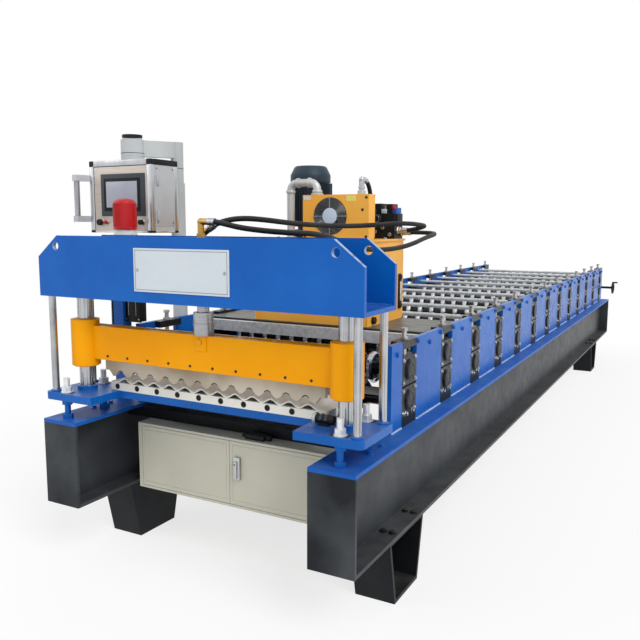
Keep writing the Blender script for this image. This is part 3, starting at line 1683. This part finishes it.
    def tank(self) -> None:
        """Adds bolts, breather, level glass and drain of the tank."""
        low, high = self.lid_y
        spots = [(x, y, self.lid_top) for y in (low + 16, high - 16) for x in (-290, -150, 0, 150, 290)]
        spots += [(s * (self.lid_x - 16), 1150, self.lid_top) for s in SIDES]
        spots = [s for s in spots if not (s[1] < 1000 and -60 < s[0] < 320)]
        screwed("lid_bolts", spots, Finishes.ZINC, (7, 6, 10), seed=7)
        shape = Shape()
        shape.lathe(
            Axis.Z, (-238, 1290, self.lid_top),
            [(0, 0), (34, 0), (34, 5), (27, 6), (27, 12), (38, 13), (40, 16), (40, 34), (34, 42), (0, 44)],
            32,
        )
        shape.piece("breather_cap", Finishes.PLASTIC)
        shape = Shape()
        shape.box((299, 1296, 980), (308, 1328, 1150), 3)
        for z in (996, 1134):
            shape.rod(Axis.X, (299, 1312, z), 12, 14, 1.5)
        shape.rod(Axis.X, (299, 1000, 955), 18, 16, 1.5, 6)
        shape.piece("level_glass_frame", Finishes.PLASTIC)
        Shape().box((307, 1305, 1018), (310, 1319, 1112), 1.2).piece("level_glass", Finishes.GAUGE)
        points, edges = [], []
        for x in (-299, 299):
            for y in (946, 1354):
                edges.append((len(points), len(points) + 1))
                points += [(x, y, 934), (x, y, 1306)]
        grown(
            "weld_beads", "tank_welds", points, Finishes.ORANGE, edges=edges, radius=0.0032, step=0.005,
            seed=13,
        )


@dataclass
class ControlPanel:
    """Control box on its swing arm."""

    low: Point = (-971.0, 556.5, 1347.5)
    high: Point = (-595.0, 739.5, 1677.5)
    profile: float = 26.0
    neck: Point = (-783.0, 648.0, 1798.0)
    hinge: Point = (-662.0, 821.0, 1650.0)
    grip: Point = (-1005.0, 506.5, 1424.0)
    knob_z: float = 1394.0

    def build(self) -> None:
        """Dresses the panel and adds its frame, screen and knobs."""
        dress(Finishes.ENAMEL, "panel_column", "panel_arm")
        dress(Finishes.SIDE, "control_box")
        self.edges()
        self.face()
        self.side()
        self.arm()

    def edges(self) -> None:
        """Adds the profiles along the box's edges and their corner pieces."""
        lows, highs, wide = self.low, self.high, self.profile
        shape = Shape()
        for axis in range(3):
            one, two = (axis + 1) % 3, (axis + 2) % 3
            for first in (0, 1):
                for second in (0, 1):
                    low, high = [0.0] * 3, [0.0] * 3
                    low[axis], high[axis] = lows[axis] + wide, highs[axis] - wide
                    for k, top in ((one, first), (two, second)):
                        low[k] = highs[k] - wide + 1 if top else lows[k] - 1.5
                        high[k] = highs[k] + 1.5 if top else lows[k] + wide - 1
                    if axis != 2 and high[2] < 1500:
                        high[2] = lows[2] + 8
                    if low[2] > 1600 and axis != 2:
                        high[2] = highs[2] + 0.4
                    if axis == 2:
                        low[2] = lows[2] + 10
                    shape.box(low, high, 3)
        shape.piece("box_profiles", Finishes.PROFILE, Body.PANEL)
        shape = Shape()
        for corner in ((a, b, c) for a in (0, 1) for b in (0, 1) for c in (0, 1)):
            low = [h - wide if t else l - 2 for t, l, h in zip(corner, lows, highs)]
            high = [h + 2 if t else l + wide for t, l, h in zip(corner, lows, highs)]
            high[2] = min(high[2], highs[2] + 0.4) if corner[2] else lows[2] + 10
            shape.box(low, high, 4)
        shape.box((highs[0] - 14, lows[1] + 20, 1652), (highs[0] + 2.2, highs[1] - 20, highs[2] + 0.5), 2)
        y = lows[1] - 0.6
        shape.box((lows[0] + wide, y, 1356), (lows[0] + wide + 4, y + 3, 1651))
        shape.box((lows[0] + wide, y, 1648.5), (highs[0] - wide, y + 3, 1651.5))
        shape.piece("box_corners", Finishes.PLASTIC, Body.PANEL)

    def face(self) -> None:
        """Adds the front plate with its screen and switches."""
        front = self.low[1]
        for name, finish, (x0, x1), (z0, z1), (out, back), bevel in (
            ("box_face", Finishes.PANEL, (-941, -621), (1354, 1648), (-1.2, 2), 0.4),
            ("screen_frame", Finishes.BEZEL, (-896, -628), (1422, 1615), (-7, -0.5), 2.5),
            ("screen_step", Finishes.BLACK, (-876, -654), (1444, 1595), (-7.9, -6.5), 0.5),
            ("screen", Finishes.SCREEN, (-861, -672), (1462, 1580), (-8.6, -7.5), 0.4),
        ):
            shape = Shape().box((x0, front + out, z0), (x1, front + back, z1), bevel)
            shape.piece(name, finish, Body.PANEL)
        knobs, steel, red = Shape(), Shape(), Shape()
        for x, radius, shape_in in ((-905, 15, knobs), (-868, 9, red), (-700, 12, red), (-652, 12, knobs)):
            outline = [(0, 0), (radius + 4, 0), (radius + 4, -3), (radius + 2, -5), (0, -5)]
            steel.lathe(Axis.Y, (x, front - 1, self.knob_z), outline)
            outline = [(0, 0), (radius, 0), (radius - 0.5, -14), (radius - 3, -16), (0, -16)]
            shape_in.lathe(Axis.Y, (x, front - 5, self.knob_z), outline, 24)
        knobs.piece("panel_knobs", Finishes.PLASTIC, Body.PANEL)
        red.piece("panel_stop_button", Finishes.RED, Body.PANEL)
        steel.piece("panel_knob_rings", Finishes.STEEL, Body.PANEL)

    def side(self) -> None:
        """Adds the cover and hinges of the box's right side, and the sleeve of its handle."""
        right = self.high[0]
        shape = Shape().box((right - 1, 585, 1376), (right + 1.2, 712, 1650), 0.5)
        shape.piece("box_side_cover", Finishes.SIDE, Body.PANEL)
        shape = Shape()
        for z in (1392, 1636):
            for y in (594, 703):
                shape.rod(Axis.X, (right + 1, y, z), 3.4, 2, 0.6, 12)
        shape.piece("box_side_screws", Finishes.BEZEL, Body.PANEL)
        shape = Shape()
        for z in (1560, 1400):
            shape.box((right + 1, 590, z), (right + 8, 604, z + 46), 2)
        shape.piece("box_side_hinges", Finishes.SIDE, Body.PANEL)
        shape = Shape()
        shape.lathe(Axis.Z, self.grip, [(11.8, 0), (13.4, 1), (13.4, 160), (11.8, 161)], 24, closed=True)
        shape.piece("box_grip", Finishes.GRIP, Body.PANEL)

    def arm(self) -> None:
        """Adds the caps and seams of the swing arm."""
        x, y, z = self.neck
        shape = Shape()
        shape.lathe(Axis.Z, (x, y, z), [(0, -2), (40, -2), (42, -0.6), (40, -0.2), (0, -0.1)], 36)
        angles = [math.tau * i / 40 for i in range(40)]
        loops = [
            [
                Vector(around(x, y, radius, a, z - 0.1 if top else z - 3 - 8 * (1 + math.cos(a + 0.9))))
                for a in angles
            ]
            for radius, top in ((45.8, True), (46.8, True), (46.8, False), (45.8, False))
        ]
        shape.rings(loops, closed=True)
        shape.piece("neck_cap", Finishes.PLASTIC, Body.ARM)
        shape = Shape()
        shape.band(Axis.Z, (x, y, 1712), (50, 54.8), (0, 2.5), 44)
        shape.band(Axis.Z, self.hinge, (26, 30.8), (0, 2.5), 32)
        for z in (1612, 1632):
            shape.rod(Axis.Y, (self.hinge[0] - 2, self.hinge[1] - 31.9, z), 4, 3, 0.6, 12)
        shape.piece("arm_seams", Finishes.BEZEL, Body.ARM)


@dataclass
class SignalPost:
    """Post with its terminal box, conduit and warning lamp."""

    edge: float = -707.0
    lamp: Point = (-627.0, 420.0)
    conduit_y: float = 414.0

    def build(self) -> None:
        """Dresses the post and adds its details."""
        dress(Finishes.BLUE, "signal_post")
        dress(Finishes.LAMP, "signal_lamp")
        x, y = self.lamp
        shape = Shape()
        shape.lathe(
            Axis.Z, (x, y, 1476),
            [(0, -2), (48, -2), (49.4, 0), (47, 6), (40, 12), (29, 17), (14, 19.6), (0, 20.5)], 44,
        )
        shape.lathe(Axis.Z, (x, y, 1364), [(46, 0), (51.6, 0), (52, 3), (51.6, 9), (46, 9)], 44, closed=True)
        shape.piece("lamp_dome", Finishes.RED, sharp=60)
        angles = [math.tau * i / 72 for i in range(72)]
        spots = [around(x, y, 50, a, 1424) for a in angles]
        grown(
            "slats", "lamp_ribs", spots, Finishes.RED, facing=[(math.cos(a), math.sin(a), 0) for a in angles],
            size=(0.0024, 0.0022, 0.1),
        )
        shape = Shape()
        shape.lathe(Axis.Z, (x, y, 1336), [(38, 0), (51, 0), (52, 2), (50, 9), (38, 9)], 44, closed=True)
        shape.piece("lamp_foot", Finishes.ENAMEL)
        shape = Shape()
        shape.box((-645, 419, 955), (-555, 427, 1185), 2)
        shape.box((-558, 424, 958), (-553, 457, 1182), 1.5)
        shape.piece("terminal_cover", Finishes.PLASTIC)
        shape = Shape()
        for px in (-622, -580):
            shape.box((px - 1, 418.2, 985), (px + 1, 419.4, 1155))
        for px in (-636, -564):
            for pz in (968, 1172):
                shape.rod(Axis.Y, (px, 417.4, pz), 4, 2, 0.5, 12)
        shape.piece("terminal_screws_front", Finishes.STEEL)
        points = [(self.edge, self.conduit_y, 900 + 40 * i) for i in range(11)]
        grown(
            "ridges", "post_conduit", points, Finishes.PLASTIC, edges=[(i, i + 1) for i in range(10)],
            radius=0.0105, step=0.0066,
        )
        shape = Shape().tube([(self.edge, self.conduit_y, z) for z in (898, 1302)], 8.6, 16)
        for z in (930, 1090, 1250):
            shape.box(
                (self.edge - 12, self.conduit_y - 12, z), (self.edge + 10, self.conduit_y + 14, z + 9), 1.5
            )
        shape.piece("post_conduit_core", Finishes.PLASTIC)


@dataclass
class Cabinet:
    """Electrical cabinet under the shear."""

    front: float = 300.0
    top: float = 546.0
    half: float = 475.0

    def build(self) -> None:
        """Dresses the cabinet and its doors and adds their details."""
        dress(Finishes.CREAM, "electrical_cabinet", "cabinet_door_left", "cabinet_door_right")
        shape = Shape()
        shape.box((25.4, self.front - 12.6, 383.4), (56.6, self.front - 0.4, 474.6), 2)
        shape.box((32.4, self.front - 23, 389.4), (47.6, self.front - 10, 460.6), 3)
        shape.piece("door_lock", Finishes.CHROME, Body.DOOR_RIGHT)
        shape = Shape().rod(Axis.Y, (40, self.front - 24.2, 448), 3.2, 2, 0.5, 14)
        shape.piece("lock_keyhole", Finishes.PLASTIC, Body.DOOR_RIGHT)
        for body, side in ((Body.DOOR_LEFT, -1.0), (Body.DOOR_RIGHT, 1.0)):
            shape = Shape()
            x0, x1 = sorted((side * 14.0, side * 440.0))
            for left, right, low, high in (
                (x0, x1, 290, 292.2), (x0, x1, 517, 519.2), (x0, x0 + 2.2, 290, 519), (x1 - 2.2, x1, 290, 519)
            ):
                shape.box((left, self.front - 1.0, low), (right, self.front + 0.4, high), 0.4)
            shape.piece(body.value.replace("door", "door_fold"), Finishes.CREAM, body)
        shape = Shape()
        shape.box((64, 318, self.top - 0.5), (150, 362, self.top + 20), 3)
        shape.rod(Axis.X, (150, 340, self.top + 10), 10, 22, 1.5)
        shape.rod(Axis.X, (40, 340, self.top + 10), 8, 26, 1.5)
        shape.piece("cabinet_connector", Finishes.PLASTIC)
        rows = [(side * (self.half + 1.5), 470, 330 + 22 * i) for side in SIDES for i in range(8)]
        grown("slats", "cabinet_louvres", rows, Finishes.CREAM, facing=(1, 0, 0), size=(0.005, 0.2, 0.008))
        spots = [(side * 200, self.front + 349, z) for side in SIDES for z in (290, 520)]
        screwed("cabinet_back_screws", spots, Finishes.ZINC, (5, 3, 8), seed=14, facing=(0, 1, 0), corners=12)


@dataclass
class Entry:
    """Entry table with its side rollers and handwheel."""

    table: float = 757.5
    roller: float = 470.0
    roller_y: Point = (6210.0, 6270.0, 6330.0, 6390.0)

    def build(self) -> None:
        """Dresses the entry and adds its rollers."""
        dress(Finishes.SHEET, "entry_table")
        dress(Finishes.PLASTIC, "entry_handwheel")
        half = [(0, 0), (15, 0), (17, 3), (17, 8), (13, 10)]
        outline = half + [(radius, 40 - height) for radius, height in reversed(half)]
        shape, pins = Shape(), Shape()
        for side in SIDES:
            for y in self.roller_y:
                shape.lathe(Axis.Z, (side * self.roller, y, self.table + 2), outline, 24)
                pins.rod(Axis.Z, (side * self.roller, y, self.table - 4), 5, 56, 1, 14)
        shape.piece("side_rollers", Finishes.PLASTIC)
        pins.piece("roller_pins", Finishes.ZINC)
        spots = [(side * 586, y, self.table) for side in SIDES for y in (6180, 6300, 6400)]
        screwed("entry_bolts", spots, Finishes.ZINC, (8, 6, 11), seed=15)


@dataclass
class Hoses:
    """Pressure hoses and the cooler's hose, on the routes of their solids."""

    radius: float = 10.0
    sleeve_wall: float = 3.4
    sleeve_length: float = 30.0

    def routes(self) -> dict[str, list[Point]]:
        """Returns each hose's route in millimetres of the drawing."""
        return {
            "hose_upper": [
                (5, 185, 1368), (26, 185, 1382), (50, 188, 1391), (80, 193, 1400), (115, 206, 1406),
                (150, 230, 1407), (178, 265, 1404), (196, 310, 1400), (207, 370, 1395), (225, 480, 1388),
                (262, 640, 1382), (310, 770, 1381), (375, 880, 1386), (430, 980, 1392), (460, 1080, 1390),
                (470, 1173, 1384), (463, 1209, 1381), (442, 1240, 1376), (411, 1261, 1370),
                (375, 1268, 1363), (350, 1268, 1360), (325, 1268, 1360),
            ],
            "hose_lower": [
                (30, 150, 1395), (60, 150, 1395), (98, 152, 1388), (161, 158, 1375), (215, 166, 1368),
                (277, 178, 1362), (320, 192, 1359), (348, 206, 1357), (370, 228, 1356), (386, 263, 1355),
                (410, 360, 1341), (424, 440, 1322), (435, 540, 1302), (446, 680, 1287), (460, 800, 1286),
                (478, 900, 1293), (492, 1000, 1307), (500, 1090, 1324), (504, 1160, 1335), (504, 1218, 1341),
                (496, 1256, 1345), (475, 1289, 1347), (442, 1310, 1349), (404, 1318, 1350), (360, 1318, 1350),
                (325, 1318, 1350),
            ],
            "hose_cooler": [
                (247, 1005, 1585), (245, 1020, 1585), (242, 1051, 1578), (238, 1081, 1557), (236, 1101, 1526),
                (235, 1109, 1490), (235, 1109, 1420), (235, 1109, 1350),
            ],
        }

    def build(self) -> None:
        for node, route in self.routes().items():
            path = smooth_path(route)
            shape = Shape().tube(path, self.radius, 16)
            hose = shape.piece(node + "_cover", Finishes.RUBBER, sharp=80)
            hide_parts(node)
            self.sleeves(node, path)

    def sleeves(self, node: str, path: list[Vector]) -> None:
        """Adds the crimped sleeves on both ends of a hose.

        Args:
            node: The hose's solid.
            path: The hose's path.
        """
        shape = Shape()
        for end, ahead in ((path[0], path[2]), (path[-1], path[-3])):
            way = (ahead - end).normalized()
            steps = [end + way * (self.sleeve_length * i / 6) for i in range(7)]
            shape.tube(steps, self.radius + self.sleeve_wall, 18)
        shape.piece(node + "_sleeves", Finishes.ZINC)


@dataclass
class Studio:
    """Camera, floor and lights."""

    spot: Point = (1.7582, -5.1655, 1.3848)
    yaw: float = -0.4974
    pitch: float = -0.1318
    roll: float = 0.0031
    lens: float = 40.356
    haze: Point = (3.0, 8.0)
    glow: Point = (0.72, 1.0)
    sky: Point = (0.62, 1.0)
    reach: float = 40.0

    def build(self) -> None:
        """Sets up the camera, the pale floor and the soft light."""
        scene = bpy.context.scene
        scene.view_settings.view_transform = "Standard"
        camera = bpy.data.objects.new("camera", bpy.data.cameras.new("camera"))
        camera.data.lens = self.lens
        camera.data.sensor_width = 36.0
        camera.data.clip_end = 200.0
        ahead = Vector(
            (
                math.sin(self.yaw) * math.cos(self.pitch),
                math.cos(self.yaw) * math.cos(self.pitch),
                math.sin(self.pitch),
            )
        )
        right = Vector((math.cos(self.yaw), -math.sin(self.yaw), 0.0))
        up = right.cross(ahead)
        turned_right = right * math.cos(self.roll) + up * math.sin(self.roll)
        turned_up = up * math.cos(self.roll) - right * math.sin(self.roll)
        rows = [(turned_right[i], turned_up[i], -ahead[i], self.spot[i]) for i in range(3)]
        camera.matrix_world = Matrix([*rows, (0, 0, 0, 1)])
        scene.collection.objects.link(camera)
        scene.camera = camera
        self.floor()
        self.world()
        for name, way, strength, soft in (
            ("key", (-0.66, 0.36, -0.68), 1.8, 32.0),
            ("fill", (0.75, 0.5, -0.55), 0.4, 40.0),
        ):
            lamp = bpy.data.lights.new(name, "SUN")
            lamp.energy = strength
            lamp.angle = math.radians(soft)
            obj = bpy.data.objects.new(name, lamp)
            obj.rotation_mode = "QUATERNION"
            obj.rotation_quaternion = Vector(way).to_track_quat("-Z", "Y")
            scene.collection.objects.link(obj)

    def lit(self, tree: Tree) -> Socket:
        """Tells the rays that see the background from those that only light it.

        Args:
            tree: The tree that gets the nodes.

        Returns:
            A socket that is 1 for rays from the camera, mirrors and glass.
        """
        path = add(tree, "ShaderNodeLightPath").outputs
        seen = maths(tree, "MAXIMUM", path["Is Camera Ray"], path["Is Glossy Ray"])
        return maths(tree, "MAXIMUM", seen, path["Is Transmission Ray"])

    def world(self) -> None:
        """Makes the sky white where it is seen and plain soft light elsewhere."""
        world = bpy.data.worlds.new("studio")
        bpy.context.scene.world = world
        world.use_nodes = True
        tree = world.node_tree
        tree.nodes.clear()
        strength = ramped(tree, self.lit(tree), (0.0, 1.0), self.sky)
        sky = add(tree, "ShaderNodeBackground", {"Color": (1.0, 1.0, 1.0, 1.0), "Strength": strength})
        add(tree, "ShaderNodeOutputWorld", {"Surface": sky.outputs[0]})

    def floor(self) -> None:
        """Makes a pale floor that fades into the background far away."""
        mesh = bpy.data.meshes.new("floor")
        far = self.reach
        corners = [(-far, -far, 0), (far, -far, 0), (far, far, 0), (-far, far, 0)]
        mesh.from_pydata(corners, [], [(0, 1, 2, 3)])
        material = bpy.data.materials.new("studio_floor")
        material.use_nodes = True
        tree = material.node_tree
        tree.nodes.clear()
        matt = add(
            tree, "ShaderNodeBsdfPrincipled", {"Base Color": (0.95, 0.95, 0.95, 1.0), "Roughness": 0.9},
        )
        glow = add(tree, "ShaderNodeEmission", {"Color": (1.0, 1.0, 1.0, 1.0), "Strength": 1.0})
        distance = add(tree, "ShaderNodeVectorMath", {0: located(tree)}, operation="LENGTH").outputs["Value"]
        fade = ramped(tree, distance, self.haze, self.glow)
        amount = maths(tree, "MULTIPLY", fade, self.lit(tree))
        mixed = add(tree, "ShaderNodeMixShader", {0: amount, 1: matt.outputs[0], 2: glow.outputs[0]})
        add(tree, "ShaderNodeOutputMaterial", {"Surface": mixed.outputs[0]})
        mesh.materials.append(material)
        obj = bpy.data.objects.new("floor", mesh)
        bpy.context.scene.collection.objects.link(obj)


def main() -> None:
    """Builds every part of the machine, the camera and the cords first."""
    logging.basicConfig(level=logging.INFO, format="%(message)s")
    parts = [
        Studio(), Hoses(), MainFrame(), RollLine(), Shear(), HydraulicStation(), ControlPanel(), SignalPost(),
        Cabinet(), Entry(),
    ]
    for part in parts:
        log.info("%s", type(part).__name__)
        part.build()


if __name__ == "__main__":
    main()
